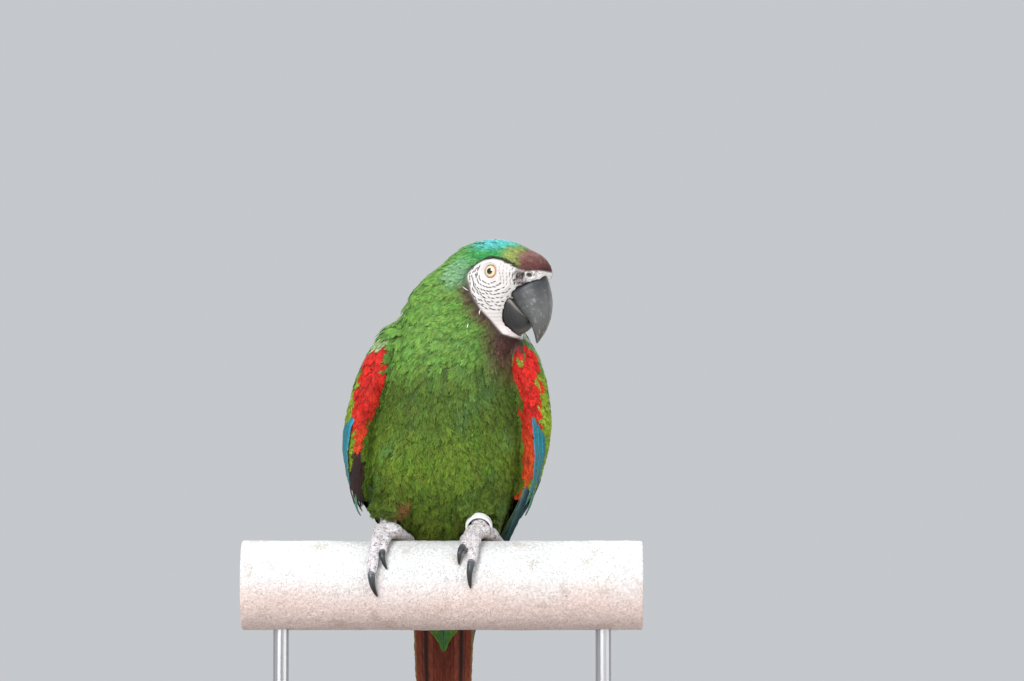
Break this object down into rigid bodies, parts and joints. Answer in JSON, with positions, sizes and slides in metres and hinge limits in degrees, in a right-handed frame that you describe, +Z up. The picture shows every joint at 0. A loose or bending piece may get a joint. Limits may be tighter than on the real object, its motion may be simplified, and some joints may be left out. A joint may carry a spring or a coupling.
{
  "type": "chestnut-fronted macaw model on a perch",
  "caption": "Life-size still model of a green macaw with folded wings, gripping a short cut length of round perch held by a plain display stand.",
  "frame": {"origin": "middle of the underside of the stand's base", "axes": "+Z up, the bird's breast faces -Y, +X towards the bird's left, to which its head is turned"},
  "size_m": [0.25, 0.21, 0.4233],
  "materials": {
    "green_feathers": "soft overlapping feathers",
    "flight_feathers": "smooth stiff vanes",
    "tail_feathers": "smooth stiff vanes",
    "horn": "dark horn, satin with fine growth lines",
    "eye": "wet gloss",
    "scaly_skin": "dry scaly skin",
    "band_metal": "satin, pale",
    "cement_perch": "sandy cement",
    "stand_wood": "dark stain, satin",
    "stand_steel": "brushed"
  },
  "bodies": {
    "root": {"claw_left_1": "horn", "claw_left_2": "horn", "claw_left_3": "horn", "claw_left_4": "horn", "claw_right_1": "horn", "claw_right_2": "horn", "claw_right_3": "horn", "claw_right_4": "horn", "eye_left": "eye", "eye_right": "eye", "foot_left": "scaly_skin", "foot_right": "scaly_skin", "head": "green_feathers", "leg_band": "band_metal", "lower_bill": "horn", "neck": "green_feathers", "perch": "cement_perch", "primaries_left": "flight_feathers", "primaries_right": "flight_feathers", "secondaries_left": "flight_feathers", "secondaries_right": "flight_feathers", "stand_base": "stand_wood", "stand_rod_left": "stand_steel", "stand_rod_right": "stand_steel", "tail_feather_left_1": "tail_feathers", "tail_feather_left_2": "tail_feathers", "tail_feather_left_3": "tail_feathers", "tail_feather_left_4": "tail_feathers", "tail_feather_left_5": "tail_feathers", "tail_feather_left_6": "tail_feathers", "tail_feather_right_1": "tail_feathers", "tail_feather_right_2": "tail_feathers", "tail_feather_right_3": "tail_feathers", "tail_feather_right_4": "tail_feathers", "tail_feather_right_5": "tail_feathers", "tail_feather_right_6": "tail_feathers", "thigh_left": "green_feathers", "thigh_right": "green_feathers", "trunk": "green_feathers", "undertail_coverts": "green_feathers", "upper_bill": "horn", "uppertail_coverts": "green_feathers", "wing_left": "green_feathers", "wing_right": "green_feathers"}
  },
  "joints": []
}
